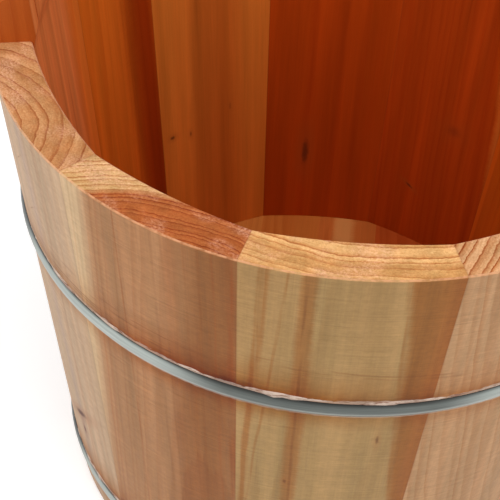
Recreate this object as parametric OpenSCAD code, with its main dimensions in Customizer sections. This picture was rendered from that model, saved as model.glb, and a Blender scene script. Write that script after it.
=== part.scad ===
// Wooden foot bath bucket: a tapered coopered tub with two raised ears.
// Twelve staves stand on a radial joint each, a planked bottom sits in their croze,
// and two half-round wire hoops lie with their flat side in grooves.
// The origin is the middle of the foot, on the ground. The front is towards -Y, the ears are on the X axis.

/* [Tub] */
// Outside diameter across the rim
rim_d = 380; // [340:1:420]
// Height of the rim above the ground
rim_h = 320; // [290:1:350]
// Outward lean of the wall on each side, for 100 mm of height
lean = 8.8; // [5:0.1:11]
// Thickness of the staves at their joints
wall = 21; // [18:0.5:26]
// Radius of the hollowing cut inside each stave, measured at the rim
hollow_r = 300; // [230:5:600]
// Chamfer on the rim's outer and inner edge
rim_chamfer = 0.8; // [0.3:0.1:2]
// Chamfer round the outside of the foot
foot_chamfer = 2; // [0.5:0.5:4]
// Height of the bevel inside the foot
chime_h = 10; // [4:1:12]
// Width of the bevel inside the foot
chime_w = 6; // [2:0.5:8]

/* [Ears] */
// Angle that an ear stave takes up
ear_span = 30; // [26:1:34]
// Height of an ear above the rim
ear_h = 62; // [55:1:75]
// Height of the upright side of an ear above the rim
ear_shoulder = 20; // [12:1:26]
// Width across an ear's rounded top
ear_top_w = 70; // [62:1:76]
// Radius of an ear's top corners
ear_corner_r = 20; // [14:1:24]
// How much thicker an ear is than the wall below it, on the inside
ear_thicker = 5; // [2:0.5:6]
// Height over which an ear swells to that thickness
ear_swell_h = 22; // [16:1:28]
// How far below the rim an ear starts to swell
ear_swell_drop = 8; // [4:1:12]
// Chamfer along the upright edges of an ear
ear_edge = 2.5; // [1:0.5:4]
// Length of the hand hole
hand_w = 56; // [45:1:62]
// Height of the hand hole
hand_h = 22; // [18:1:26]
// Height of the hand hole's middle above the rim
hand_z = 29; // [26:1:34]

/* [Bottom] */
// Height of the floor's top face above the ground
floor_z = 53; // [45:1:62]
// Thickness of the bottom boards
board_t = 18; // [14:1:20]
// Thickness of the boards' edge, which sits in the croze
tongue_t = 9; // [6:0.5:12]
// Depth of the croze at the stave joints
croze_d = 4; // [3:0.5:7]
// Play of the boards in the croze
croze_gap = 0.15; // [0.1:0.05:0.4]
// Width of the bevel under the boards' edge
board_bevel = 16; // [8:1:30]

/* [Hoops] */
// Height of the hoop wire, which is half-round and has its flat side in the wood
hoop_h = 10; // [8:0.5:12]
// Radius of the wire's rounded face
hoop_face_r = 8; // [7:0.5:12]
// How far the wire stands out from the wood
hoop_proud = 2; // [1.5:0.1:3]
// How deep the wire's flat side lies in the wood
hoop_sunk = 1.6; // [1:0.1:2.5]
// Height of the upper hoop above the ground
upper_hoop_z = 222; // [160:1:250]
// Height of the lower hoop above the ground
lower_hoop_z = 27; // [20:1:90]
// Clearance between the wire and its groove
hoop_gap = 0.1; // [0.05:0.05:0.3]

/* [Dowels] */
// Diameter of the holes for the hidden dowels
dowel_hole_d = 6; // [4:0.5:8]
// Length of a dowel
dowel_len = 30; // [20:1:34]
// Clearance round a dowel and at each of its ends
dowel_gap = 0.1; // [0.05:0.05:0.3]
// Height of the lower dowels in the stave joints
stave_dowel_low = 125; // [90:1:150]
// Height of the upper dowels in the stave joints
stave_dowel_high = 265; // [230:1:275]
// Distance of the board dowels from the middle of the floor, along the joint
board_dowel_y = 62; // [30:1:70]

/* [Hidden] */
$fn = 96;
// Cutters reach this far past the wood
past = 30;
// Relative widths of the front staves from the left ear to the right, and of the back staves on from there
front_widths = [33.5, 30.1, 30.3, 28.1, 28.1];
back_widths = [31.9, 31.9, 31.9, 31.1, 23.2];
// Relative widths of the bottom boards, from the left to the right
board_widths = [51, 47, 43, 43, 49, 65];
plank_span = 180 - ear_span;

function sum_to(v, n) = n <= 0 ? 0 : v[n - 1] + sum_to(v, n - 1);
function share(v, n) = sum_to(v, n) / sum_to(v, len(v));
// Joint angles, counted from the front towards the right ear
front_joints = [for (i = [0:5]) plank_span * (share(front_widths, i) - 0.5)];
back_joints = [for (i = [0:5]) 180 + plank_span * (share(back_widths, i) - 0.5)];
joints = concat(front_joints, back_joints);

// Outside radius, and inside radius at the joints, at height z
function out_r(z) = rim_d / 2 - lean * (rim_h - z) / 100;
function joint_r(z) = out_r(z) - wall;
// Radius of the hollowing cut at height z, and how far its axis lies behind the tub's
function cut_r(z) = hollow_r - lean * (rim_h - z) / 100;
function cut_back(half) =
    sqrt(pow(hollow_r, 2) - pow(joint_r(rim_h) * sin(half), 2)) - joint_r(rim_h) * cos(half);
// Inside radius at the middle of a stave that spans twice the angle half
function mid_r(half, z) = cut_r(z) - cut_back(half);

top_z = rim_h + ear_h;
widest_half = plank_span * max(max(front_widths) / sum_to(front_widths, 5),
    max(back_widths) / sum_to(back_widths, 5)) / 2;
tongue_z = floor_z - tongue_t;
croze_r = joint_r(tongue_z) + croze_d;
swell_z = rim_h - ear_swell_drop;
board_r = croze_r - croze_gap;
// The tongue is parallel as far as the thickest stave, and the bevel starts inside it
tongue_r = mid_r(widest_half, tongue_z - croze_gap) - croze_gap;
board_edges = [for (i = [0:6]) 2 * board_r * (share(board_widths, i) - 0.5)];
board_mid_z = floor_z - board_t / 2;
lean_angle = atan(lean / 100);

module dowel(d, length) {
    rotate([90, 0, 0]) cylinder(d = d, h = length, center = true);
}

// The wood between two radial joints, from the foot up to the height given, with a chamfered outer top edge
module blank(half, height, chamfer) {
    rotate([0, 0, -half]) rotate_extrude(angle = 2 * half) polygon([
        [joint_r(0) - past, 0],
        [out_r(0) - foot_chamfer, 0],
        [out_r(foot_chamfer), foot_chamfer],
        [out_r(height - chamfer), height - chamfer],
        [out_r(height) - chamfer, height],
        [joint_r(height) - past, height]]);
}

// The inside of the tub as each stave is hollowed, with the bevel inside the foot.
// The points up to the top edge and its chamfer are given, and the cut runs on past the wood.
module hollow(half, upper_points, height, chamfer) {
    inset = upper_points[len(upper_points) - 1][0] - cut_r(upper_points[len(upper_points) - 1][1]);
    translate([-cut_back(half), 0, 0]) rotate_extrude() polygon(concat([
        [0, -1],
        [cut_r(0) + chime_w * (1 + 1 / chime_h), -1],
        [cut_r(chime_h), chime_h]],
        upper_points, [
        [cut_r(height - chamfer) + inset, height - chamfer],
        [cut_r(height) + inset + 2 * chamfer, height + chamfer],
        [0, height + chamfer]]));
}

// A smooth step from 0 to 1
function ease(t) = t * t * (3 - 2 * t);
swell_points = [for (t = [0:1/8:1])
    let (z = swell_z + t * ear_swell_h) [cut_r(z) - ear_thicker * ease(t), z]];

module croze() {
    rotate_extrude() translate([croze_r - past, tongue_z - croze_gap])
        square([past, tongue_t + 2 * croze_gap]);
}

// A wire ring, or the groove for it when it is made larger by the clearance
module ring(z, extra) {
    rotate_extrude() translate([out_r(z), z]) rotate(-lean_angle) intersection() {
        translate([hoop_proud - hoop_face_r, 0]) circle(r = hoop_face_r + extra);
        translate([-hoop_sunk - extra, -hoop_h / 2 - extra])
            square([hoop_sunk + hoop_face_r, hoop_h + 2 * extra]);
    }
}

module joint_holes(half) {
    for (side = [-half, half], z = [stave_dowel_low, stave_dowel_high])
        rotate([0, 0, side]) translate([out_r(z) - wall / 2, 0, z])
            dowel(dowel_hole_d, dowel_len + 2 * dowel_gap);
}

// A stave between two joint angles that ends at the rim
module stave(i) {
    half = (joints[i + 1] - joints[i]) / 2;
    rotate([0, 0, joints[i] + half - 90]) difference() {
        blank(half, rim_h, rim_chamfer);
        hollow(half, [[cut_r(swell_z), swell_z]], rim_h, rim_chamfer);
        croze();
        ring(upper_hoop_z, hoop_gap);
        ring(lower_hoop_z, hoop_gap);
        joint_holes(half);
    }
}

// Front view of what an ear leaves standing: upright sides, slanting shoulders and rounded top corners
module ear_outline() {
    half_w = out_r(rim_h + ear_shoulder) * sin(ear_span / 2);
    corner = [ear_top_w / 2 - ear_corner_r, top_z - ear_corner_r];
    to_side = [half_w, rim_h + ear_shoulder] - corner;
    touch = atan2(to_side[1], to_side[0]) + acos(ear_corner_r / norm(to_side));
    contact = corner + ear_corner_r * [cos(touch), sin(touch)];
    for (x = [-corner[0], corner[0]]) translate([x, corner[1]]) circle(r = ear_corner_r);
    polygon([
        [-half_w - past, rim_h - past],
        [half_w + past, rim_h - past],
        [half_w + past, rim_h + ear_shoulder],
        [half_w, rim_h + ear_shoulder],
        contact,
        [corner[0], top_z],
        [-corner[0], top_z],
        [-contact[0], contact[1]],
        [-half_w, rim_h + ear_shoulder],
        [-half_w - past, rim_h + ear_shoulder]]);
}

module hand_hole() {
    for (y = [-1, 1]) translate([0, y * (hand_w - hand_h) / 2, rim_h + hand_z]) rotate([0, 90, 0])
        cylinder(d = hand_h, h = rim_d);
    translate([0, -(hand_w - hand_h) / 2, rim_h + hand_z - hand_h / 2])
        cube([rim_d, hand_w - hand_h, hand_h]);
}

// Chamfers on the four upright edges of an ear, from the rim upwards
module ear_edges() {
    for (side = [-ear_span / 2, ear_span / 2], r = [joint_r(rim_h) - ear_thicker, out_r(rim_h)])
        rotate([0, 0, side]) translate([r, 0, rim_h]) rotate([0, lean_angle, 0])
            rotate([0, 0, 45]) translate([-ear_edge / sqrt(2), -ear_edge / sqrt(2), 0])
                cube([ear_edge * sqrt(2), ear_edge * sqrt(2), ear_h + past]);
}

module ear_stave() {
    half = ear_span / 2;
    difference() {
        blank(half, top_z, rim_chamfer);
        hollow(half, swell_points, top_z, rim_chamfer);
        croze();
        ring(upper_hoop_z, hoop_gap);
        ring(lower_hoop_z, hoop_gap);
        joint_holes(half);
        rotate([90, 0, 90]) linear_extrude(rim_d) difference() {
            translate([-rim_d / 2, rim_h + ear_shoulder]) square([rim_d, ear_h]);
            ear_outline();
        }
        hand_hole();
        ear_edges();
    }
}

module board(i) {
    difference() {
        intersection() {
            rotate_extrude() polygon([
                [0, floor_z - board_t],
                [tongue_r - board_bevel, floor_z - board_t],
                [tongue_r, tongue_z],
                [board_r, tongue_z],
                [board_r, floor_z],
                [0, floor_z]]);
            translate([board_edges[i], -board_r - 1, 0])
                cube([board_edges[i + 1] - board_edges[i], 2 * board_r + 2, floor_z + 1]);
        }
        for (x = [board_edges[i], board_edges[i + 1]], y = [-board_dowel_y, board_dowel_y])
            if (abs(x) < board_r - 1) translate([x, y, board_mid_z]) rotate([0, 0, 90])
                dowel(dowel_hole_d, dowel_len + 2 * dowel_gap);
    }
}

module stave_front_1() { color([0.79, 0.65, 0.53]) stave(0); }
module stave_front_2() { color([0.72, 0.55, 0.42]) stave(1); }
module stave_front_3() { color([0.72, 0.58, 0.42]) stave(2); }
module stave_front_4() { color([0.80, 0.66, 0.53]) stave(3); }
module stave_front_5() { color([0.76, 0.61, 0.46]) stave(4); }
module ear_right() { color([0.70, 0.52, 0.36]) ear_stave(); }
module stave_back_1() { color([0.74, 0.58, 0.43]) stave(6); }
module stave_back_2() { color([0.78, 0.62, 0.47]) stave(7); }
module stave_back_3() { color([0.71, 0.54, 0.39]) stave(8); }
module stave_back_4() { color([0.80, 0.66, 0.50]) stave(9); }
module stave_back_5() { color([0.73, 0.56, 0.41]) stave(10); }
module ear_left() { color([0.66, 0.47, 0.31]) rotate([0, 0, 180]) ear_stave(); }

module board_1() { color([0.60, 0.44, 0.30]) board(0); }
module board_2() { color([0.66, 0.48, 0.32]) board(1); }
module board_3() { color([0.70, 0.50, 0.30]) board(2); }
module board_4() { color([0.72, 0.55, 0.37]) board(3); }
module board_5() { color([0.60, 0.40, 0.28]) board(4); }
module board_6() { color([0.64, 0.46, 0.31]) board(5); }

module hoop_upper() { color([0.62, 0.63, 0.64]) ring(upper_hoop_z, 0); }
module hoop_lower() { color([0.62, 0.63, 0.64]) ring(lower_hoop_z, 0); }

module stave_dowels() {
    color([0.82, 0.72, 0.48]) for (angle = joints, z = [stave_dowel_low, stave_dowel_high])
        rotate([0, 0, angle - 90]) translate([out_r(z) - wall / 2, 0, z])
            dowel(dowel_hole_d - 2 * dowel_gap, dowel_len);
}

module board_dowels() {
    color([0.82, 0.72, 0.48]) for (i = [1:5], y = [-board_dowel_y, board_dowel_y])
        translate([board_edges[i], y, board_mid_z]) rotate([0, 0, 90])
            dowel(dowel_hole_d - 2 * dowel_gap, dowel_len);
}

stave_front_1();
stave_front_2();
stave_front_3();
stave_front_4();
stave_front_5();
ear_right();
stave_back_1();
stave_back_2();
stave_back_3();
stave_back_4();
stave_back_5();
ear_left();
board_1();
board_2();
board_3();
board_4();
board_5();
board_6();
hoop_upper();
hoop_lower();
stave_dowels();
board_dowels();
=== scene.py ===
"""Finish of a coopered wooden foot bath bucket: solid wood, drawn wire hoops and bamboo dowels."""

import math
from collections import namedtuple

import bpy
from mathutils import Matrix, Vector


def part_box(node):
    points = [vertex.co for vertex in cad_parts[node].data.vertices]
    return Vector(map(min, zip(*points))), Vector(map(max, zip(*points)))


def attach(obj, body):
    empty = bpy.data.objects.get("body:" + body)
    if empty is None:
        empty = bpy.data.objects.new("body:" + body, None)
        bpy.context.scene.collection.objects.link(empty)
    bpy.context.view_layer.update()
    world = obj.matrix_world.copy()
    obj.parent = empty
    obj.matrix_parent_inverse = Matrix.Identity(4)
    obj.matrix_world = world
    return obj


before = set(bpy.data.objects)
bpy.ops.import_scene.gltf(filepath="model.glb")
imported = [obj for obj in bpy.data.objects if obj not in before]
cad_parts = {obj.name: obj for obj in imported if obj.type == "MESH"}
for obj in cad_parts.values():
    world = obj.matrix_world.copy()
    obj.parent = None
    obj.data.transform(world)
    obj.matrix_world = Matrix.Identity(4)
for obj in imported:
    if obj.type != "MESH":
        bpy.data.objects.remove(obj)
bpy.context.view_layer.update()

bl_info = {
    "name": "Wooden foot bath bucket",
    "version": (1, 0, 0),
    "blender": (4, 5, 0),
    "location": "View3D > Sidebar > Bucket",
    "description": "Finishes the staves, ears, boards, hoops and dowels of a foot bath bucket",
    "category": "Object",
}

MM = 0.001


def middle_height(name):
    """Height of the middle of a CAD node."""
    low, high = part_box(name)
    return (low.z + high.z) / 2


# The tub's outer face is a cone round the Z axis, which leans outwards as it rises.
RIM_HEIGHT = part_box("stave_front_3")[1].z
RIM_RADIUS = -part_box("stave_front_3")[0].y
UPPER_HOOP = middle_height("hoop_upper")
LOWER_HOOP = middle_height("hoop_lower")
LEAN = (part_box("hoop_upper")[1].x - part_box("hoop_lower")[1].x) / (UPPER_HOOP - LOWER_HOOP)
WIRE_HALF = (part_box("hoop_upper")[1].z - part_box("hoop_upper")[0].z) / 2


def paint(red, green, blue):
    """A colour given in 0 to 255, as the linear colour that a shader takes."""
    def linear(value):
        share = value / 255
        return share / 12.92 if share <= 0.04045 else ((share + 0.055) / 1.055) ** 2.4
    return tuple(linear(value) for value in (red, green, blue))


# A streak runs down a stave: in mm where it crosses the rim, how far it moves in 100 mm, its width and the
# width of its soft edges.
Streak = namedtuple("Streak", "side at drift width soft strength colour")
# A knot lies on one side of a stave: its place across and below the rim, its half sizes in mm, and its slant.
Knot = namedtuple("Knot", "side across down half_width half_height strength slant", defaults=(0,))
# A stave: its joints' angles in degrees from the front, its colours, and in mm its pith's place across it and
# in from its face, how far the pith moves in each metre down from the rim, and the width of a ring. Where
# there is sapwood, it starts at a distance from the pith in metres.
Stave = namedtuple("Stave", "name start end face inside end_grain pith tilt ring contrast sap streaks knots",
                   defaults=(None, (), ()))
# A level line that a tool left on the outside: its angles, their depths below the rim in mm, its strength.
ToolLine = namedtuple("ToolLine", "start end start_down end_down strength")

BROWN_BAND = paint(148, 90, 38)
RED_BAND = paint(148, 78, 34)
DARK_LINE = paint(112, 58, 26)
PINK_TINT = paint(190, 150, 128)
GREY_TINT = paint(150, 128, 128)
KNOT_COLOUR = paint(84, 38, 18)
SAP_FACE = paint(208, 175, 135)
SAP_END = paint(216, 170, 116)
SAP_INSIDE = paint(176, 104, 44)
INSIDE_DARK = paint(138, 40, 4)
INSIDE_LIGHT = paint(206, 108, 40)
NO_SAP = 9.0            # a distance from the pith in metres that no stave reaches
HOOP_RADIUS = 0.18      # about, to turn an angle into a length round the tub
# Each hoop's height, and the angle where most varnish ran along it.
HOOP_RUNS = ((UPPER_HOOP, math.radians(-14)), (LOWER_HOOP, math.radians(-52)))

STAVES = [
    Stave("stave_front_1", -75, -41.52, paint(186, 154, 123), paint(216, 140, 104), paint(190, 132, 84),
          pith=(5.2, -38.6), tilt=(16, 8), ring=6.2, contrast=0.42,
          streaks=[Streak("face", 30, -3, 2, 2, 0.25, RED_BAND),
                   Streak("face", 50, 1, 8, 7, 0.3, SAP_FACE),
                   Streak("face", -12, 2, 5, 5, 0.25, PINK_TINT),
                   Streak("face", 12, 0.5, 8, 7, 0.28, GREY_TINT)],
          knots=[Knot("face", 11.2, 232, 4.6, 8.0, 1.0, 1.2), Knot("face", 12.8, 246.6, 1.8, 4.0, 0.95),
                 Knot("face", 2, 30, 0.5, 3.5, 0.35, 1.1), Knot("face", 6, 62, 0.5, 3.5, 0.35, 1.1)]),
    Stave("stave_front_2", -41.52, -11.44, paint(170, 122, 82), paint(200, 110, 48), paint(176, 98, 50),
          pith=(45, -90), tilt=(-24, 30), ring=3.4, contrast=0.66, sap=0.1213,
          streaks=[Streak("face", -14, 0, 0.9, 0.7, 0.45, RED_BAND),
                   Streak("face", 6.6, 0, 1.5, 1, 0.2, DARK_LINE),
                   Streak("face", 12, 0, 1.2, 1, 0.2, DARK_LINE),
                   Streak("face", 24, 1, 3, 2, 0.3, RED_BAND),
                   Streak("face", 31, -1, 1.4, 1, 0.35, RED_BAND),
                   Streak("face", 15.3, 0, 6, 4, 0.2, RED_BAND),
                   Streak("face", 41, -7, 34, 26, 0.75, paint(134, 80, 36)),
                   Streak("face", 45.4, -0.3, 3.2, 2.6, 0.65, RED_BAND),
                   Streak("face", 37, 0.5, 1.4, 1.2, 0.35, RED_BAND)]),
    Stave("stave_front_3", -11.44, 18.84, paint(169, 135, 88), paint(180, 100, 44), paint(213, 159, 100),
          pith=(13.6, 161.8), tilt=(-10, -12), ring=4.2, contrast=0.42,
          streaks=[Streak("face", -37.5, -2.6, 4, 2.5, 0.7, BROWN_BAND),
                   Streak("face", -27.4, -6, 1.4, 1, 0.45, BROWN_BAND),
                   Streak("face", -17, -0.6, 7, 4, 0.65, BROWN_BAND),
                   Streak("face", -18.4, 0.6, 1.4, 1.2, 0.4, DARK_LINE),
                   Streak("face", 45, 6, 38, 6, 0.85, BROWN_BAND),
                   Streak("face", 24, 7, 1.6, 1.6, 0.4, BROWN_BAND),
                   Streak("face", 50, -2, 12, 10, 0.35, RED_BAND)],
          knots=[Knot("face", 24.3, 124.6, 1.0, 4.0, 0.6), Knot("face", -19.7, 169.4, 1.2, 2.2, 0.5)]),
    Stave("stave_front_4", 18.84, 46.92, paint(183, 141, 101), paint(190, 104, 46), paint(205, 152, 106),
          pith=(155, -257), tilt=(220, 60), ring=4.2, contrast=0.8),
    Stave("stave_front_5", 46.92, 75, paint(174, 138, 94), paint(190, 98, 40), paint(208, 154, 98),
          pith=(-20, 95), tilt=(20, -15), ring=4.0, contrast=0.5,
          streaks=[Streak("face", -20, 2, 16, 5, 0.6, BROWN_BAND)]),
    Stave("ear_right", 75, 105, paint(170, 122, 82), paint(190, 94, 36), paint(182, 100, 50),
          pith=(25, 60), tilt=(15, 10), ring=4.6, contrast=0.5),
    Stave("stave_back_1", 105, 136.9, paint(170, 134, 92), paint(182, 78, 16), paint(208, 154, 98),
          pith=(-30, -80), tilt=(-25, 10), ring=4.4, contrast=0.5,
          streaks=[Streak("face", 12, -3, 12, 4, 0.6, BROWN_BAND)]),
    Stave("stave_back_2", 136.9, 168.8, paint(180, 138, 98), paint(162, 58, 10), paint(205, 148, 94),
          pith=(-60, 70), tilt=(-60, 5), ring=4.2, contrast=0.5,
          streaks=[Streak("inside", -26, -9.9, 6, 6, 0.6, INSIDE_LIGHT),
                   Streak("inside", -16, -8, 5, 5, 0.35, INSIDE_DARK)],
          knots=[Knot("inside", 14.4, 221, 1.9, 2.2, 0.8, 1.3), Knot("inside", -9.8, 163, 6, 5, 0.3)]),
    Stave("stave_back_3", 168.8, 200.7, paint(168, 122, 82), paint(166, 61, 10), paint(190, 124, 72),
          pith=(20, 150), tilt=(10, 0), ring=4.6, contrast=0.5,
          streaks=[Streak("inside", 12, 0.4, 5, 5, 0.35, INSIDE_DARK)],
          knots=[Knot("inside", 12.2, 208, 3.0, 12, 0.75)]),
    Stave("stave_back_4", 200.7, 231.8, paint(182, 142, 104), paint(210, 116, 42), paint(208, 154, 98),
          pith=(-20, 120), tilt=(0, 5), ring=5.2, contrast=0.45,
          streaks=[Streak("inside", -2, 0, 34, 24, 0.4, INSIDE_DARK)],
          knots=[Knot("inside", 33, 172, 2.2, 1.6, 0.8), Knot("inside", 18.4, 174.4, 1.0, 2.2, 0.6),
                 Knot("inside", -13.1, 161.7, 1.0, 3.4, 0.3)]),
    Stave("stave_back_5", 231.8, 255, paint(170, 132, 90), paint(204, 101, 28), paint(202, 148, 92),
          pith=(30, 60), tilt=(15, 10), ring=4.2, contrast=0.5,
          streaks=[Streak("inside", -24, 0, 30, 26, 0.9, INSIDE_DARK)]),
    Stave("ear_left", 255, 285, paint(170, 122, 84), paint(216, 112, 40), paint(182, 100, 52),
          pith=(-25, 55), tilt=(15, 10), ring=4.4, contrast=0.55,
          # The wide pale pinkish streak on the ear's inside is a painted sheen, the grazing reflection on its
          # varnished inner wall.
          streaks=[Streak("inside", 12, 2, 78, 18, 0.36, paint(218, 138, 92)),
                   Streak("inside", 6, 2, 5, 5, 0.3, paint(206, 104, 52)),
                   Streak("inside", -12, 1, 2, 2, 0.3, INSIDE_DARK)]),
]

TOOL_LINES = [
    ToolLine(-16, 23.7, 63, 73, 0.3),
    ToolLine(-12, 26, 66.5, 76, 0.2),
    ToolLine(-75, -14, 84, 85, 0.4),
    ToolLine(-60, -22, 80, 79, 0.3),
    ToolLine(-52, -16, 74, 76, 0.3),
    ToolLine(-66, -30, 88, 86, 0.35),
    ToolLine(-44, -12, 91, 90, 0.3),
    ToolLine(-38, 2, 120, 118, 0.25),
    ToolLine(96, 150, 70, 64, 0.4),
]

# A bottom board: its name and top colour, and in mm its pith's place from its middle, its rings' width
# and a pale strip's middle and width.
Board = namedtuple("Board", "name top pith ring strip", defaults=(None,))
PALE_STRIP = paint(212, 146, 82)
BOARD_TILT = (10, 20)   # how far a pith moves across and down in each metre towards the front, in mm
BOARDS = [
    Board("board_1", paint(186, 110, 48), (10, -60), 4.4),
    Board("board_2", paint(196, 118, 53), (-20, -40), 5.0),
    Board("board_3", paint(189, 106, 44), (15, 55), 4.2),
    Board("board_4", paint(186, 100, 44), (-10, -70), 5.4, strip=(-3, 14)),
    Board("board_5", paint(168, 72, 27), (25, 45), 4.6),
    Board("board_6", paint(166, 76, 32), (-15, -50), 4.8),
]


def colour_setting(name, description, default):
    """A colour in the sidebar."""
    return bpy.props.FloatVectorProperty(
        name=name, description=description, subtype="COLOR", size=3, min=0, max=1, default=default)


def share_setting(name, description, default):
    """A number from 0 to 1 in the sidebar."""
    return bpy.props.FloatProperty(
        name=name, description=description, subtype="FACTOR", min=0, max=1, default=default)


def length_setting(name, description, low, high, default):
    """A length in metres in the sidebar."""
    return bpy.props.FloatProperty(
        name=name, description=description, unit="LENGTH", min=low, max=high, default=default)


class WoodSettings(bpy.types.PropertyGroup):
    """Colours and textures of the wood."""

    late_tint: colour_setting(
        "Late wood tint", "What the dark part of a ring multiplies the wood's colour by", (0.68, 0.44, 0.26))
    line_tint: colour_setting(
        "Ring line tint", "What the thin line that ends a ring multiplies the end grain by",
        (0.58, 0.29, 0.13))
    grain_strength: share_setting(
        "Grain strength", "How strongly the fine fibres change the wood's colour", 0.5)
    fibre_width: length_setting("Fibre width", "Width of a bundle of fibres", 0.0002, 0.003, 0.0008)
    fibre_depth: length_setting("Fibre depth", "Depth of the grain in the surface", 0, 0.001, 0.00012)
    face_roughness: share_setting("Face roughness", "Roughness of the varnished faces", 0.52)
    end_roughness: share_setting("End grain roughness", "Roughness of the rim and the other end grain", 0.62)
    # A pale colour that is partly a painted highlight on the chamfers and partly bare worn wood.
    arris_wear_and_highlight_colour: colour_setting(
        "Arris colour", "Colour of the thin bare line along the rim's edges", paint(222, 160, 118))
    stain_tint: colour_setting(
        "Stain tint", "What the varnish that ran along the hoops multiplies the wood's colour by",
        (0.50, 0.28, 0.13))
    amber_tint: colour_setting(
        "Amber tint", "What the thinner, amber varnish by the hoops multiplies the colour by",
        (0.84, 0.57, 0.25))
    soak_tint: colour_setting(
        "Soak tint", "What the soaked wood beside a hoop multiplies the wood's colour by", (0.74, 0.49, 0.27))
    torn_colour: colour_setting(
        "Torn fibre colour", "Colour of the torn fibres above a hoop", paint(206, 184, 168))
    patch_colour: colour_setting(
        "End patch colour", "Colour of the pinkish patches on the end grain", paint(232, 174, 142))
    outside_gloss: share_setting("Outside gloss", "Strength of the sheen on the front staves", 0.1)
    inside_gloss: share_setting(
        "Inside gloss", "Strength of the sheen on the back staves and the boards", 0.05)
    torn_width: length_setting(
        "Torn edge width", "Thickness of the ragged edge above a hoop", 0.0005, 0.005, 0.0026)
    torn_rise: length_setting(
        "Torn edge rise", "How far the ragged edge's middle lies above the hoop", 0, 0.005, 0.0012)
    torn_sunk: length_setting(
        "Torn edge depth", "How far the ragged edge's middle lies inside the wood", 0, 0.003, 0.0005)
    torn_shift: length_setting(
        "Torn edge shift", "How far the ragged edge lies off the axis, to the right", 0, 0.001, 0.0004)
    bamboo_colour: colour_setting("Bamboo colour", "Colour of the hidden dowels", paint(214, 186, 128))


class WireSettings(bpy.types.PropertyGroup):
    """Finish of the two wire hoops."""

    # The clean steel colour also paints the highlight line and the lighter reflection to either side of the
    # front.
    wire_colour: colour_setting("Wire colour", "Colour of the clean steel wire", paint(159, 165, 160))
    # Colour of the painted darker reflection across the front of the wire.
    dark_reflection_colour: colour_setting("Dark reflection colour", "Colour of the wire where it has gone dull", paint(95, 99, 96))
    # Colour of the painted shade along the wire's top and bottom edges.
    edge_shade_colour: colour_setting("Edge shade colour", "Colour of the wire's dark edges", paint(46, 44, 42))
    wire_roughness: share_setting("Wire roughness", "Roughness of the drawn wire", 0.38)
    draw_mark_depth: length_setting(
        "Draw mark depth", "Depth of the fine lines along the wire", 0, 0.0005, 0.00006)


class StudioSettings(bpy.types.PropertyGroup):
    """The floor, the lamps and the camera."""

    floor_colour: colour_setting("Floor colour", "Colour of the plain floor", (0.86, 0.86, 0.86))
    lens: bpy.props.FloatProperty(
        name="Lens", description="Focal length of the camera in millimetres", min=20, max=200, default=89.71)
    camera_place: bpy.props.FloatVectorProperty(
        name="Camera place", description="Where the camera stands", subtype="TRANSLATION", size=3,
        default=(0.0, -0.5646, 0.6934))
    camera_turn: bpy.props.FloatVectorProperty(
        name="Camera turn", description="How the camera is turned", subtype="EULER", size=3,
        default=tuple(math.radians(angle) for angle in (45.992, -2.3193, 7.1247)))
    lamp_power: bpy.props.FloatProperty(
        name="Lamp power", description="Power of the large soft lamp in watts", min=0, max=200, default=11.5)
    sky_strength: bpy.props.FloatProperty(
        name="Sky strength", description="Strength of the even light from all round",
        min=0, max=2, default=0.48)


class Value:
    """What a node gives: a number that plain arithmetic can be done with, a vector or a colour."""

    def __init__(self, recipe, socket):
        self.recipe = recipe
        self.socket = socket

    def __add__(self, other):
        return self.recipe.maths("ADD", self, other)

    def __sub__(self, other):
        return self.recipe.maths("SUBTRACT", self, other)

    def __rsub__(self, other):
        return self.recipe.maths("SUBTRACT", other, self)

    def __mul__(self, other):
        return self.recipe.maths("MULTIPLY", self, other)

    def __truediv__(self, other):
        return self.recipe.maths("DIVIDE", self, other)

    def __rtruediv__(self, other):
        return self.recipe.maths("DIVIDE", other, self)

    def __abs__(self):
        return self.recipe.maths("ABSOLUTE", self)

    def ease(self, start, end):
        """0 before start and 1 after end, with a smooth step between; start may be the larger."""
        return self.recipe.ranged(self, start, end, 0.0, 1.0, interpolation_type="SMOOTHSTEP")

    def span(self, low, high):
        """A number from 0 to 1 stretched to run from low to high."""
        return self.recipe.ranged(self, 0.0, 1.0, low, high)

    def swing(self, *halves):
        """A colour about white, from a number from 0 to 1: how far red, green and blue go to either side."""
        return self.recipe.join(*(self.span(1 - half, 1 + half) for half in halves))

    def tint(self, colour):
        """This colour multiplied by another."""
        return self.recipe.mix(1.0, self, colour, blend="MULTIPLY")

    def split(self):
        """The three numbers of a vector."""
        return self.recipe.gives(self.recipe.node("ShaderNodeSeparateXYZ", {0: self})).values()

    def noise(self, stretch, detail=2.0, roughness=0.5, seed=0.0):
        """Noise at this vector, with as many waves for each metre as stretch says along each axis."""
        step = self.recipe.vector_step
        moved = step("ADD", step("MULTIPLY", self, stretch), self.recipe.thrice(seed))
        feeds = {"Vector": moved, "Scale": 1.0, "Detail": detail, "Roughness": roughness}
        return Value(self.recipe, self.recipe.node("ShaderNodeTexNoise", feeds).outputs[0])


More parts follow.
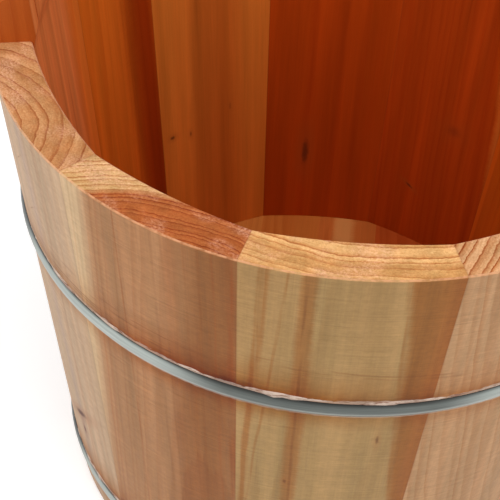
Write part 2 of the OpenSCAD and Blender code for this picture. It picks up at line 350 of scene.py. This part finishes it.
class Recipe:
    """Adds nodes to one tree. It takes numbers, colours and what other nodes give."""

    def __init__(self, tree):
        self.tree = tree

    def feed(self, socket, value):
        """Links what a node gives to a socket, or sets the socket to a plain value."""
        if isinstance(value, Value):
            self.tree.links.new(value.socket, socket)
        elif socket.type == "RGBA" and len(value) == 3:
            socket.default_value = (*value, 1.0)
        else:
            socket.default_value = value

    def node(self, kind, feeds=None, **settings):
        """A node of one kind, with its settings and what feeds its inputs, by name or number."""
        made = self.tree.nodes.new(kind)
        for name, value in settings.items():
            setattr(made, name, value)
        for name, value in (feeds or {}).items():
            self.feed(made.inputs[name], value)
        return made

    def gives(self, node):
        """All that a node gives, by name."""
        return {socket.name: Value(self, socket) for socket in node.outputs}

    def maths(self, operation, *values):
        """One step of arithmetic."""
        made = self.node("ShaderNodeMath", dict(enumerate(values)), operation=operation)
        return Value(self, made.outputs[0])

    def larger(self, first, second):
        """The larger of two numbers."""
        return self.maths("MAXIMUM", first, second)

    def vector_step(self, operation, first, second):
        """One step of arithmetic on vectors."""
        made = self.node("ShaderNodeVectorMath", {0: first, 1: second}, operation=operation)
        return Value(self, made.outputs[0])

    def ranged(self, value, from_low, from_high, to_low, to_high, **settings):
        """A number moved from one range to another."""
        feeds = {"Value": value, "From Min": from_low, "From Max": from_high,
                 "To Min": to_low, "To Max": to_high}
        return self.gives(self.node("ShaderNodeMapRange", feeds, **settings))["Result"]

    def mix(self, share, first, second, blend="MIX"):
        """Two colours mixed by a share."""
        feeds = {0: share, 6: first, 7: second}
        return Value(self, self.node("ShaderNodeMix", feeds, data_type="RGBA", blend_type=blend).outputs[2])

    def join(self, x, y, z):
        """A vector or colour of three numbers."""
        return Value(self, self.node("ShaderNodeCombineXYZ", {0: x, 1: y, 2: z}).outputs[0])

    def thrice(self, value):
        """A vector or grey of one number."""
        return self.join(value, value, value)

    def reach(self, x, y):
        """How far a point lies from the axis."""
        return self.maths("SQRT", x * x + y * y)

    def from_front(self, x, y):
        """The angle of a point round the tub, from the middle of its front."""
        return self.maths("ARCTAN2", x, y * -1)

    def effect(self, name, **feeds):
        """One of the shared effects, with underscores in place of the blanks of its input names."""
        made = self.node("ShaderNodeGroup", node_tree=bpy.data.node_groups[name])
        for label, value in feeds.items():
            self.feed(made.inputs[label.replace("_", " ")], value)
        return self.gives(made)

    def give(self, **results):
        """What a shared effect gives."""
        outlet = self.node("NodeGroupOutput")
        for label, value in results.items():
            self.feed(outlet.inputs[label], value)


# The kinds of socket that aren't plain numbers.
SOCKETS = {"Place": "NodeSocketVector", "Plank": "NodeSocketVector", "Base": "NodeSocketColor",
           "Late tint": "NodeSocketColor", "Colour": "NodeSocketColor"}


def new_effect(name, takes, gives):
    """A shared effect with its inputs and outputs, and what it is given."""
    tree = bpy.data.node_groups.new(name, "ShaderNodeTree")
    for direction, labels in (("INPUT", takes), ("OUTPUT", gives)):
        for label in labels:
            kind = SOCKETS.get(label, "NodeSocketFloat")
            tree.interface.new_socket(name=label, in_out=direction, socket_type=kind)
    recipe = Recipe(tree)
    return recipe, recipe.gives(recipe.node("NodeGroupInput"))


def make_stave_place():
    """Where a point lies in a leaning stave: across it, in from its outer face, and up."""
    recipe, given = new_effect("Stave place", ["Place", "Middle"], ["Plank", "Inward"])
    x, y, z = given["Place"].split()
    cos_middle = recipe.maths("COSINE", given["Middle"])
    sin_middle = recipe.maths("SINE", given["Middle"])
    across = x * cos_middle + y * sin_middle
    out = x * sin_middle - y * cos_middle
    radius = z * LEAN + (RIM_RADIUS - LEAN * RIM_HEIGHT)
    recipe.give(Plank=recipe.join(across, radius - out, z), Inward=radius - recipe.reach(x, y))


def make_growth_rings():
    """Rings round a pith, cut by whatever surface the wood has, so that faces and end grain agree."""
    recipe, given = new_effect(
        "Growth rings",
        ["Plank", "Pith across", "Pith depth", "Tilt across", "Tilt depth", "Spacing", "Seed", "Fibre width"],
        ["Late", "Line", "Tone", "Fibre", "Radius", "Thread"])
    plank, seed = given["Plank"], given["Seed"]
    across, depth, height = plank.split()
    down = RIM_HEIGHT - height
    warp = plank.noise((26, 26, 3.2), detail=2, seed=seed) - 0.5
    wobble = plank.noise((330, 330, 14), detail=3, seed=seed) - 0.5
    beside = across - (given["Tilt across"] * down + given["Pith across"])
    behind = depth - (given["Tilt depth"] * down + given["Pith depth"])
    radius = warp * 0.007 + recipe.reach(beside, behind) + wobble * 0.0016
    turn = radius / given["Spacing"]
    turn = turn + recipe.join(turn, seed, 0.0).noise((0.6, 1, 1), detail=1) * 2.2
    within = recipe.maths("FRACT", turn)
    year = recipe.maths("FLOOR", turn)
    white = recipe.node("ShaderNodeTexWhiteNoise", {"W": year + seed}, noise_dimensions="1D")
    tone = recipe.gives(white)["Value"]
    fine = 1.0 / given["Fibre width"]
    bundles = recipe.join(across * fine, depth * fine, height * 26)
    fibre = bundles.noise((1, 1, 1), detail=3, roughness=0.6, seed=seed)
    strength = tone.span(0.35, 1.0) * fibre.span(0.6, 1.4)
    around = recipe.join(radius, recipe.maths("ARCTAN2", beside, behind) * 0.1, height)
    recipe.give(Late=within.ease(0.25, 0.88) * within.ease(1.0, 0.88) * strength,
                Line=within.ease(0.74, 0.92) * within.ease(1.0, 0.95) * strength,
                Tone=tone, Fibre=fibre, Radius=radius,
                Thread=around.noise((900, 110, 30), detail=3, roughness=0.65, seed=seed))


def make_wood_tone():
    """The colour of wood from its rings, its fibres and slow changes along the plank."""
    recipe, given = new_effect(
        "Wood tone",
        ["Base", "Late tint", "Late", "Late share", "Tone", "Fibre", "Cloud", "Grain strength"], ["Colour"])
    base, cloud = given["Base"], given["Cloud"]
    ringed = recipe.mix(given["Late"] * given["Late share"], base, base.tint(given["Late tint"]))
    lightness = (given["Tone"].span(0.97, 1.03) + given["Fibre"].span(-0.30, 0.30) * given["Grain strength"]
                 + cloud.span(-0.32, 0.32))
    pinkness = lightness * cloud.span(0.96, 1.04)
    recipe.give(Colour=ringed.tint(recipe.join(pinkness, lightness, pinkness)))


def make_end_speckle():
    """The broken ends of the fibres on a sawn end, with pinkish patches."""
    recipe, given = new_effect("End speckle", ["Plank", "Seed"], ["Speckle", "Patch"])
    grit = given["Plank"].noise((900, 900, 900), detail=4, roughness=0.75, seed=given["Seed"])
    broad = given["Plank"].noise((45, 70, 0), detail=3, seed=given["Seed"])
    recipe.give(Speckle=grit, Patch=broad.ease(0.44, 0.68) * grit.ease(0.30, 0.75))


def make_streak():
    """A soft band that runs down a plank. A wide one wanders more and doesn't fade."""
    recipe, given = new_effect("Streak", ["Plank", "At", "Drift", "Half width", "Soft"], ["Mask"])
    plank, at, half_width = given["Plank"], given["At"], given["Half width"]
    across, _, height = plank.split()
    wide = half_width.ease(1.2 * MM, 3 * MM)
    wander = (plank.noise((60, 0, 9), detail=3, seed=at) - 0.5) * wide.span(4 * MM, 9 * MM)
    jag = (plank.noise((90, 0, 800), detail=2, seed=at) - 0.5) * wide.span(0.4 * MM, 3 * MM)
    fade = plank.noise((300, 0, 16), detail=3, seed=at).ease(0.30, 0.58)
    middle = given["Drift"] * (RIM_HEIGHT - height) + at + wander + jag
    half_soft = given["Soft"] * 0.5
    edge = abs(across - middle).ease(half_width + half_soft, half_width - half_soft)
    recipe.give(Mask=edge * recipe.larger(fade, wide))


def make_knot():
    """A small reddish knot with a soft rim, on a plank's face."""
    recipe, given = new_effect(
        "Knot", ["Plank", "Across", "Down", "Half width", "Half height", "Slant"], ["Core", "Halo"])
    across, _, height = given["Plank"].split()
    ragged = given["Plank"].noise((700, 0, 300), detail=2) - 0.5
    above = height - RIM_HEIGHT + given["Down"]
    beside = across - (above * given["Slant"] + given["Across"])
    distance = recipe.reach(beside / given["Half width"], above / given["Half height"]) + ragged * 0.7
    recipe.give(Core=distance.ease(1.25, 0.2), Halo=distance.ease(3.4, 0.8))


def make_tool_line():
    """A thin nearly level line round the outside, between two angles."""
    recipe, given = new_effect("Tool line", ["Place", "Start", "End", "Start down", "End down"], ["Mask"])
    place, start, end = given["Place"], given["Start"], given["End"]
    x, y, z = place.split()
    angle = recipe.from_front(x, y)
    level = recipe.ranged(angle, start, end, given["Start down"], given["End down"])
    wander = recipe.join(angle, 0.0, 0.0).noise((7, 1, 1), detail=2) - 0.5
    offset = abs(RIM_HEIGHT - z - (level + wander * (2.4 * MM)))
    broken = place.noise((60, 60, 200), detail=2).ease(0.38, 0.55)
    ends = angle.ease(start, start + 0.05) * angle.ease(end, end - 0.05)
    recipe.give(Mask=offset.ease(1.1 * MM, 0.2 * MM) * broken * ends)


def make_joint_line():
    """A thin dark line where two staves meet."""
    recipe, given = new_effect("Joint line", ["Place", "Angle"], ["Mask"])
    x, y, _ = given["Place"].split()
    across = x * recipe.maths("COSINE", given["Angle"]) + y * recipe.maths("SINE", given["Angle"])
    recipe.give(Mask=abs(across).ease(0.7 * MM, 0.2 * MM))


def make_hoop_marks():
    """What a hoop left on the wood: torn fibres, varnish that ran and soaked in, and a bare line below."""
    recipe, given = new_effect(
        "Hoop marks", ["Place", "Hoop height", "Run middle"], ["Torn", "Stain", "Soak", "Bare"])
    place = given["Place"]
    x, y, z = place.split()
    heavy = abs(recipe.from_front(x, y) - given["Run middle"]).ease(0.50, 0.12).span(0.5, 1.0)
    offset = z - given["Hoop height"]
    above = offset - WIRE_HALF
    rough = place.noise((240, 240, 900), detail=3) - 0.5
    patches = place.noise((24, 24, 0), detail=2)
    drips = place.noise((150, 150, 12), detail=3)
    on_lip = above.ease(-3 * MM, -1 * MM)
    torn_top = rough * (5 * MM) + patches.span(-0.6 * MM, 4.2 * MM)
    torn = above.ease(torn_top + 0.6 * MM, torn_top) * on_lip
    run_top = drips * (12 * MM) + patches.span(0, 12 * MM)
    run = above.ease(run_top, 0.5 * MM) * on_lip * drips.span(0.4, 1.2)
    pool = above.ease(drips.span(4 * MM, 11.5 * MM), 3 * MM) * drips.span(0.6, 1.5) * on_lip
    soak_top = drips * (16 * MM) + patches.span(8 * MM, 42 * MM)
    soak_foot = drips * (-14 * MM) + patches.span(-5 * MM, -22 * MM)
    soak = above.ease(soak_top, 0.0) * offset.ease(soak_foot, -4.5 * MM)
    below = offset + WIRE_HALF + rough * (1.6 * MM)
    bare = below.ease(-1.6 * MM, -0.9 * MM) * below.ease(1.2 * MM, 0.4 * MM)
    recipe.give(Torn=torn, Stain=recipe.larger(run, pool) * heavy, Soak=soak * heavy, Bare=bare)


def make_turning_marks():
    """Fine level lines that the lathe knife left round the tub, stronger in patches."""
    recipe, given = new_effect("Turning marks", ["Place"], ["Height"])
    place = given["Place"]
    fine = place.noise((22, 22, 1300), detail=3, roughness=0.7)
    broad = place.noise((9, 9, 330), detail=3, roughness=0.7)
    patches = place.noise((30, 30, 55), detail=3).ease(0.38, 0.62)
    recipe.give(Height=(fine * 0.75 + broad * 0.25 - 0.5) * patches.span(0.5, 1.5) + 0.5)


def make_shared_effects():
    """All the effects that more than one material uses."""
    for make in (make_stave_place, make_growth_rings, make_wood_tone, make_end_speckle, make_streak,
                 make_knot, make_tool_line, make_joint_line, make_hoop_marks, make_turning_marks):
        make()


def new_material(name):
    """A material with an empty recipe, its principled shader and the object coordinates."""
    material = bpy.data.materials.new(name)
    material.use_nodes = True
    tree = material.node_tree
    tree.nodes.clear()
    recipe = Recipe(tree)
    shader = recipe.node("ShaderNodeBsdfPrincipled")
    output = recipe.node("ShaderNodeOutputMaterial")
    tree.links.new(shader.outputs[0], output.inputs[0])
    place = recipe.gives(recipe.node("ShaderNodeTexCoord"))["Object"]
    return material, recipe, shader, place


def finish(recipe, shader, colour, roughness, height, depth, gloss=0.5):
    """Feeds a shader its colour, its roughness, the strength of its sheen and a bump as deep as depth."""
    recipe.feed(shader.inputs["Base Color"], colour)
    recipe.feed(shader.inputs["Roughness"], roughness)
    shader.inputs["Specular IOR Level"].default_value = gloss
    bump = recipe.node("ShaderNodeBump", {"Strength": 1.0, "Distance": depth, "Height": height})
    recipe.feed(shader.inputs["Normal"], recipe.gives(bump)["Normal"])


def dress(node_name, material):
    """Gives a CAD node its finished material."""
    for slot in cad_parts[node_name].material_slots:
        slot.material = material


def growth_rings(recipe, plank, pith, tilt, spacing, wood, seed):
    """A plank's rings, from its pith's place and their width in mm, and its pith's tilt in mm per metre."""
    return recipe.effect(
        "Growth rings", Plank=plank, Pith_across=pith[0] * MM, Pith_depth=pith[1] * MM,
        Tilt_across=tilt[0] * MM, Tilt_depth=tilt[1] * MM, Spacing=spacing * MM, Seed=seed,
        Fibre_width=wood.fibre_width)


def wood_tone(recipe, wood, rings, cloud, base, late_share, grain=1.0):
    """The colour of a plank's wood over a base colour."""
    return recipe.effect(
        "Wood tone", Base=base, Late_tint=tuple(wood.late_tint), Late=rings["Late"], Late_share=late_share,
        Tone=rings["Tone"], Fibre=rings["Fibre"], Cloud=cloud,
        Grain_strength=wood.grain_strength * grain)["Colour"]


def streak_mask(recipe, plank, at, drift, width, soft):
    """Where a streak lies on a plank, from its sizes in mm."""
    return recipe.effect("Streak", Plank=plank, At=at * MM, Drift=drift / 100, Half_width=width * MM / 2,
                         Soft=soft * MM)["Mask"]


def end_grain(recipe, stave, wood, rings, tone, speckle):
    """Colour of a stave's sawn ends: ring lines, threads along the rings, pinkish patches and grit."""
    sap_from = stave.sap or NO_SAP
    sap = rings["Radius"].ease(sap_from - 4 * MM, sap_from + 1.2 * MM)
    colour = tone(recipe.mix(sap, stave.end_grain, SAP_END), 1.5, 1.2)
    colour = colour.tint(rings["Tone"].swing(0.10, 0.16, 0.24)).tint(rings["Thread"].swing(0.28, 0.50, 0.70))
    lines = rings["Line"] * stave.contrast * 2.0
    colour = recipe.mix(lines, colour, colour.tint(tuple(wood.line_tint)))
    colour = recipe.mix(speckle["Patch"] * 0.6, colour, tuple(wood.patch_colour))
    return colour.tint(speckle["Speckle"].swing(0.42, 0.62, 0.80))


def long_grain(recipe, stave, plank, rings, tone):
    """Colours of a stave's outer face, its inside and its joint faces, with streaks and knots."""
    sap_from = stave.sap or NO_SAP
    sap = rings["Radius"].ease(sap_from - 4.5 * MM, sap_from + 6.2 * MM)
    sides = {"face": tone(recipe.mix(sap, stave.face, SAP_FACE), 0.6),
             "inside": tone(recipe.mix(sap, stave.inside, SAP_INSIDE), 0.6, 0.9)}
    joint = recipe.mix(0.5, sides["inside"], INSIDE_DARK)
    for streak in stave.streaks:
        mask = streak_mask(recipe, plank, streak.at, streak.drift, streak.width, streak.soft)
        sides[streak.side] = recipe.mix(mask * streak.strength, sides[streak.side], tone(streak.colour, 0.5))
    for knot in stave.knots:
        masks = recipe.effect(
            "Knot", Plank=plank, Across=knot.across * MM, Down=knot.down * MM, Slant=knot.slant,
            Half_width=knot.half_width * MM, Half_height=knot.half_height * MM)
        ringed = recipe.mix(masks["Halo"] * (knot.strength * 0.3), sides[knot.side], RED_BAND)
        sides[knot.side] = recipe.mix(masks["Core"] * knot.strength, ringed, KNOT_COLOUR)
    return sides["face"], sides["inside"], joint


def marked_face(recipe, stave, wood, place, face):
    """The outer face with the marks of hoops, tools and lathe, how torn it is, and the lathe's marks."""
    ripe = place.noise((18, 18, 0), detail=2).ease(0.42, 0.58)
    varnish = recipe.mix(ripe, tuple(wood.stain_tint), tuple(wood.amber_tint))
    torn = 0.0
    for hoop_height, run_middle in HOOP_RUNS:
        marks = recipe.effect("Hoop marks", Place=place, Hoop_height=hoop_height, Run_middle=run_middle)
        face = recipe.mix(marks["Soak"], face, face.tint(tuple(wood.soak_tint)))
        face = recipe.mix(marks["Stain"] * 0.9, face, face.tint(varnish))
        pale = recipe.larger(marks["Torn"] * 0.5, marks["Bare"] * 0.4)
        face = recipe.mix(pale, face, tuple(wood.torn_colour))
        torn = marks["Torn"] + torn
    for line in TOOL_LINES:
        if line.start < stave.end and line.end > stave.start:
            mask = recipe.effect(
                "Tool line", Place=place, Start=math.radians(line.start), End=math.radians(line.end),
                Start_down=line.start_down * MM, End_down=line.end_down * MM)["Mask"]
            face = recipe.mix(mask * line.strength, face, DARK_LINE)
    turning = recipe.effect("Turning marks", Place=place)["Height"]
    mottle = place.noise((260, 260, 420), detail=4, roughness=0.7)
    marked = turning.span(0.72, 1.28) * mottle.span(0.78, 1.22)
    return face.tint(recipe.thrice(marked)), torn, turning


def stave_material(stave, wood, seed):
    """Solid wood of one stave, with its own rings, streaks and knots."""
    material, recipe, shader, place = new_material(stave.name + "_wood")
    middle = math.radians((stave.start + stave.end) / 2)
    where = recipe.effect("Stave place", Place=place, Middle=middle)
    plank = where["Plank"]
    rings = growth_rings(recipe, plank, stave.pith, stave.tilt, stave.ring, wood, seed)
    cloud = plank.noise((120, 120, 5), detail=4, seed=seed + 3)

    def tone(base, contrast, grain=1.0):
        return wood_tone(recipe, wood, rings, cloud, base, stave.contrast * contrast, grain)

    speckle = recipe.effect("End speckle", Plank=plank, Seed=seed)
    sawn = end_grain(recipe, stave, wood, rings, tone, speckle)
    face, inside, joint = long_grain(recipe, stave, plank, rings, tone)
    face, torn, turning = marked_face(recipe, stave, wood, place, face)

    facing_x, facing_y, facing_z = recipe.gives(recipe.node("ShaderNodeTexCoord"))["Normal"].split()
    level = abs(facing_z)
    across = facing_x * math.cos(middle) + facing_y * math.sin(middle)
    outwards = facing_x * math.sin(middle) - facing_y * math.cos(middle)
    on_joint = abs(across).ease(0.5, 0.8)
    on_end = level.ease(0.55, 0.9)
    inner = recipe.larger(where["Inward"].ease(11 * MM, 13 * MM), on_joint)
    outer = 1.0 - inner
    colour = recipe.mix(inner, face, recipe.mix(on_joint, inside, joint))
    colour = recipe.mix(on_end, colour, sawn)

    # Partly a painted highlight along the rim's chamfers and partly bare worn wood: the chamfer faces get a
    # pale colour, patchy near the top.
    arris_wear_and_highlight = level.ease(0.3, 0.5) * level.ease(0.95, 0.8) * abs(outwards).ease(0.3, 0.5)
    _, _, z = place.split()
    near_top = z.ease(RIM_HEIGHT - 0.9 * MM, RIM_HEIGHT - 0.4 * MM)
    bare = place.noise((330, 330, 500), detail=3).ease(0.35, 0.62) * near_top
    colour = recipe.mix(arris_wear_and_highlight * bare.span(0.1, 0.7), colour, tuple(wood.arris_wear_and_highlight_colour))
    start_line, end_line = (recipe.effect("Joint line", Place=place, Angle=math.radians(angle))["Mask"]
                            for angle in (stave.start, stave.end))
    colour = recipe.mix((start_line + end_line) * 0.18, colour, DARK_LINE)

    fibre = rings["Fibre"]
    height = (fibre * 0.6 + turning * outer * 1.2 + torn * outer * fibre * 4.0
              + speckle["Speckle"] * on_end * 1.5 + rings["Late"] * 0.4)
    roughness = on_end.span(wood.face_roughness, wood.end_roughness) + fibre.span(-0.10, 0.10)
    gloss = wood.inside_gloss if stave.name.startswith("stave_back") else wood.outside_gloss
    finish(recipe, shader, colour, roughness, height, wood.fibre_depth, gloss)
    return material


def board_material(board, wood, seed):
    """Solid wood of one bottom board, which runs from front to back."""
    material, recipe, shader, place = new_material(board.name + "_wood")
    low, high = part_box(board.name)
    x, y, z = place.split()
    plank = recipe.join(x - (low.x + high.x) / 2, high.z - z, y)
    rings = growth_rings(recipe, plank, board.pith, BOARD_TILT, board.ring, wood, seed)
    cloud = plank.noise((18, 18, 4), detail=2, seed=seed)
    colour = wood_tone(recipe, wood, rings, cloud, board.top, 0.5)
    if board.strip:
        at, width = board.strip
        colour = recipe.mix(streak_mask(recipe, plank, at, 0, width, 6) * 0.8, colour, PALE_STRIP)
    fibre = rings["Fibre"]
    roughness = fibre.span(wood.face_roughness - 0.12, wood.face_roughness + 0.08)
    height = fibre * 0.6 + rings["Late"] * 0.4
    finish(recipe, shader, colour, roughness, height, wood.fibre_depth, wood.inside_gloss)
    return material


def wire_material(wire):
    """Drawn steel with fine lines along the wire, a painted darker reflection across the front with a patchy
    edge, painted shade along its top and bottom edges, and a painted highlight line low on it.
    """
    material, recipe, shader, place = new_material("hoop_wire_steel")
    x, y, z = place.split()
    angle = recipe.from_front(x, y)
    along = recipe.join(angle * HOOP_RADIUS, recipe.reach(x, y), z)
    lines = along.noise((14, 1100, 1100), detail=3, roughness=0.7)
    smears = along.noise((26, 420, 420), detail=3)
    patches = along.noise((9, 0, 60), detail=2)
    # Painted reflection: the wire is darker across the front, lighter to either side of that, and darker
    # again from the sides round.
    dark_reflection = (abs(angle - 0.03) + patches.span(-0.12, 0.12)).ease(0.49, 0.26)
    dark_reflection = recipe.larger(dark_reflection, abs(angle).ease(0.98, 1.18))
    on_upper = recipe.maths("GREATER_THAN", z, (UPPER_HOOP + LOWER_HOOP) / 2)
    rise = (z - on_upper.span(LOWER_HOOP, UPPER_HOOP)) / WIRE_HALF
    # Painted shade along the wire's top edge, wider across the front, and along its bottom edge.
    edge_shade = recipe.larger(rise.ease(dark_reflection.span(0.70, 0.48), 1.0), rise.ease(-0.72, -0.98))
    # Painted highlight: a lighter line of clean steel colour low across the wire.
    highlight_line = abs(rise + 0.42).ease(0.34, 0.05)
    colour = recipe.mix(dark_reflection, tuple(wire.wire_colour), tuple(wire.dark_reflection_colour))
    colour = recipe.mix(highlight_line * 0.55, colour, tuple(wire.wire_colour))
    colour = recipe.mix(edge_shade * 0.8, colour, tuple(wire.edge_shade_colour))
    colour = colour.tint(recipe.thrice(lines.span(0.55, 1.45) * smears.span(0.72, 1.28)))
    roughness = smears.span(-0.08, 0.08) + lines.span(wire.wire_roughness - 0.06, wire.wire_roughness + 0.06)
    shader.inputs["Metallic"].default_value = 1.0
    finish(recipe, shader, colour, roughness, lines, wire.draw_mark_depth)
    return material


def torn_material(wood):
    """Pale torn fibres that lie level round the tub, with brown gaps between them."""
    material, recipe, shader, place = new_material("torn_wood_fibres")
    x, y, z = place.split()
    along = recipe.join(recipe.maths("ARCTAN2", y, x) * HOOP_RADIUS, recipe.reach(x, y), z)
    strands = along.noise((170, 1500, 1500), detail=3, roughness=0.65)
    patches = along.noise((60, 0, 0), detail=3)
    colour = recipe.mix(strands.ease(0.50, 0.36) * 0.8, tuple(wood.torn_colour), DARK_LINE)
    colour = recipe.mix(patches.ease(0.52, 0.36) * 0.75, colour, DARK_LINE)
    finish(recipe, shader, colour, strands.span(0.65, 0.85), strands, 0.3 * MM, wood.outside_gloss)
    return material


def bamboo_material(wood):
    """Pale split bamboo with fine fibres, for the hidden dowels."""
    material, recipe, shader, place = new_material("dowel_bamboo")
    fibres = place.noise((900, 900, 900), detail=2)
    colour = recipe.thrice(fibres.span(0.82, 1.12)).tint(tuple(wood.bamboo_colour))
    finish(recipe, shader, colour, fibres.span(0.55, 0.75), fibres, 0.1 * MM)
    return material


class BUCKET_OT_staves(bpy.types.Operator):
    """Gives every stave and both ears their solid wood"""

    bl_idname = "bucket.staves"
    bl_label = "Finish the staves and ears"

    def execute(self, context):
        wood = context.scene.bucket_wood
        for number, stave in enumerate(STAVES):
            dress(stave.name, stave_material(stave, wood, seed=4.7 * number + 1))
        return {"FINISHED"}


class BUCKET_OT_boards(bpy.types.Operator):
    """Gives the bottom boards their solid wood"""

    bl_idname = "bucket.boards"
    bl_label = "Finish the bottom boards"

    def execute(self, context):
        wood = context.scene.bucket_wood
        for number, board in enumerate(BOARDS):
            dress(board.name, board_material(board, wood, seed=3.1 * number + 60))
        return {"FINISHED"}


class BUCKET_OT_hoops(bpy.types.Operator):
    """Gives the two hoops their dull drawn steel"""

    bl_idname = "bucket.hoops"
    bl_label = "Finish the wire hoops"

    def execute(self, context):
        steel = wire_material(context.scene.bucket_wire)
        for name in ("hoop_upper", "hoop_lower"):
            dress(name, steel)
        return {"FINISHED"}


# The swells that make a torn edge ragged: a name, the size of its lumps and their height in metres.
TORN_SWELLS = (("patches", 0.026, 0.0026), ("tufts", 0.004, 0.0016), ("ends", 0.0011, 0.0012))
TORN_STRETCH = 1.35     # how much taller than deep the torn edge is


class BUCKET_OT_torn_fibres(bpy.types.Operator):
    """Lays a ragged edge of torn fibres along the top of each hoop"""

    bl_idname = "bucket.torn_fibres"
    bl_label = "Lay the torn fibres"

    def execute(self, context):
        wood = context.scene.bucket_wood
        material = torn_material(wood)
        for name, hoop_height in (("torn_fibres_upper", UPPER_HOOP), ("torn_fibres_lower", LOWER_HOOP)):
            height = hoop_height + WIRE_HALF + wood.torn_rise
            radius = RIM_RADIUS - LEAN * (RIM_HEIGHT - height) - wood.torn_sunk
            bpy.ops.object.select_all(action="DESELECT")
            bpy.ops.mesh.primitive_torus_add(major_segments=1600, minor_segments=8, major_radius=radius,
                                             minor_radius=wood.torn_width / 2, location=(0, 0, 0))
            ring = context.object
            ring.name = name
            bpy.ops.object.mode_set(mode="EDIT")
            bpy.ops.mesh.select_all(action="SELECT")
            bpy.ops.transform.resize(value=(1, 1, TORN_STRETCH))
            bpy.ops.transform.translate(value=(wood.torn_shift, 0, height))
            bpy.ops.object.mode_set(mode="OBJECT")
            for label, scale, depth in TORN_SWELLS:
                texture = bpy.data.textures.new(name + "_" + label, "CLOUDS")
                texture.noise_scale = scale
                swell = ring.modifiers.new(label, "DISPLACE")
                swell.texture = texture
                swell.strength = depth
                swell.mid_level = 0.55
                bpy.ops.object.modifier_apply(modifier=swell.name)
            bpy.ops.object.shade_smooth()
            ring.data.materials.append(material)
            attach(ring, "root")
        return {"FINISHED"}


class BUCKET_OT_dowels(bpy.types.Operator):
    """Gives the hidden dowels their bamboo"""

    bl_idname = "bucket.dowels"
    bl_label = "Finish the dowels"

    def execute(self, context):
        bamboo = bamboo_material(context.scene.bucket_wood)
        for name in ("stave_dowels", "board_dowels"):
            dress(name, bamboo)
        return {"FINISHED"}


def soft_lamp(name, place, aim, size, power):
    """A large soft lamp that faces a point."""
    data = bpy.data.lights.new(name, "AREA")
    data.shape = "SQUARE"
    data.size = size
    data.energy = power
    lamp = bpy.data.objects.new(name, data)
    lamp.location = place
    lamp.rotation_euler = (Vector(aim) - Vector(place)).to_track_quat("-Z", "Y").to_euler()
    bpy.context.scene.collection.objects.link(lamp)
    return lamp


def shown_white(recipe):
    """1 on the rays that see the background straight, in a reflection or through something clear."""
    path = recipe.gives(recipe.node("ShaderNodeLightPath"))
    seen = recipe.larger(path["Is Camera Ray"], path["Is Glossy Ray"])
    return recipe.larger(seen, path["Is Transmission Ray"])


class BUCKET_OT_studio(bpy.types.Operator):
    """Sets the plain floor, the soft light and the camera"""

    bl_idname = "bucket.studio"
    bl_label = "Set the studio"

    def execute(self, context):
        scene = context.scene
        studio = scene.bucket_studio
        scene.view_settings.view_transform = "Standard"

        bpy.ops.object.select_all(action="DESELECT")
        bpy.ops.mesh.primitive_circle_add(vertices=96, radius=4.0, fill_type="NGON", location=(0, 0, 0))
        floor = context.object
        floor.name = "studio_floor"
        material, recipe, shader, place = new_material("studio_floor_paint")
        mottle = recipe.thrice(place.noise((3, 3, 3), detail=2).span(0.99, 1.01))
        recipe.feed(shader.inputs["Base Color"], mottle.tint(tuple(studio.floor_colour)))
        shader.inputs["Roughness"].default_value = 0.9
        shader.inputs["Emission Color"].default_value = (1, 1, 1, 1)
        recipe.feed(shader.inputs["Emission Strength"], shown_white(recipe) * 0.35)
        floor.data.materials.append(material)

        world = bpy.data.worlds.new("studio_sky")
        scene.world = world
        world.use_nodes = True
        tree = world.node_tree
        tree.nodes.clear()
        sky = Recipe(tree)
        strength = shown_white(sky).span(studio.sky_strength, 1.0)
        background = sky.node("ShaderNodeBackground", {"Color": (1, 1, 1), "Strength": strength})
        output = sky.node("ShaderNodeOutputWorld")
        tree.links.new(background.outputs[0], output.inputs[0])

        power = studio.lamp_power
        soft_lamp("lamp_left", (-1.3, -1.1, 1.5), (0, 0, 0.2), 1.4, power * 1.5)
        soft_lamp("lamp_right", (1.5, -0.9, 1.2), (0, 0, 0.2), 1.4, power * 0.9)
        soft_lamp("lamp_top", (0.0, -0.55, 1.9), (0, 0.1, 0.2), 1.0, power * 1.0)

        camera_data = bpy.data.cameras.new("photo_camera")
        camera_data.lens = studio.lens
        camera_data.sensor_width = 36
        camera = bpy.data.objects.new("photo_camera", camera_data)
        camera.location = studio.camera_place
        camera.rotation_euler = studio.camera_turn
        scene.collection.objects.link(camera)
        scene.camera = camera
        return {"FINISHED"}


class BUCKET_PT_panel(bpy.types.Panel):
    """The bucket's finish and its studio"""

    bl_label = "Foot bath bucket"
    bl_idname = "BUCKET_PT_panel"
    bl_space_type = "VIEW_3D"
    bl_region_type = "UI"
    bl_category = "Bucket"

    def draw(self, context):
        layout = self.layout
        for operator in OPERATORS:
            layout.operator(operator.bl_idname)
        for group in (context.scene.bucket_wood, context.scene.bucket_wire, context.scene.bucket_studio):
            column = layout.box().column()
            for name in group.__annotations__:
                column.prop(group, name)


OPERATORS = (BUCKET_OT_studio, BUCKET_OT_staves, BUCKET_OT_boards, BUCKET_OT_hoops, BUCKET_OT_torn_fibres,
             BUCKET_OT_dowels)
GROUPS = {"bucket_wood": WoodSettings, "bucket_wire": WireSettings, "bucket_studio": StudioSettings}
CLASSES = (*GROUPS.values(), *OPERATORS, BUCKET_PT_panel)


def register():
    """Makes the settings, operators and panel known to Blender."""
    for cls in CLASSES:
        bpy.utils.register_class(cls)
    for name, group in GROUPS.items():
        setattr(bpy.types.Scene, name, bpy.props.PointerProperty(type=group))


def unregister():
    """Takes them away again."""
    for name in GROUPS:
        delattr(bpy.types.Scene, name)
    for cls in reversed(CLASSES):
        bpy.utils.unregister_class(cls)


def main():
    """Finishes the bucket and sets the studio."""
    register()
    make_shared_effects()
    bpy.ops.bucket.studio()
    bpy.ops.bucket.staves()
    bpy.ops.bucket.boards()
    bpy.ops.bucket.hoops()
    bpy.ops.bucket.torn_fibres()
    bpy.ops.bucket.dowels()


if __name__ == "__main__":
    main()
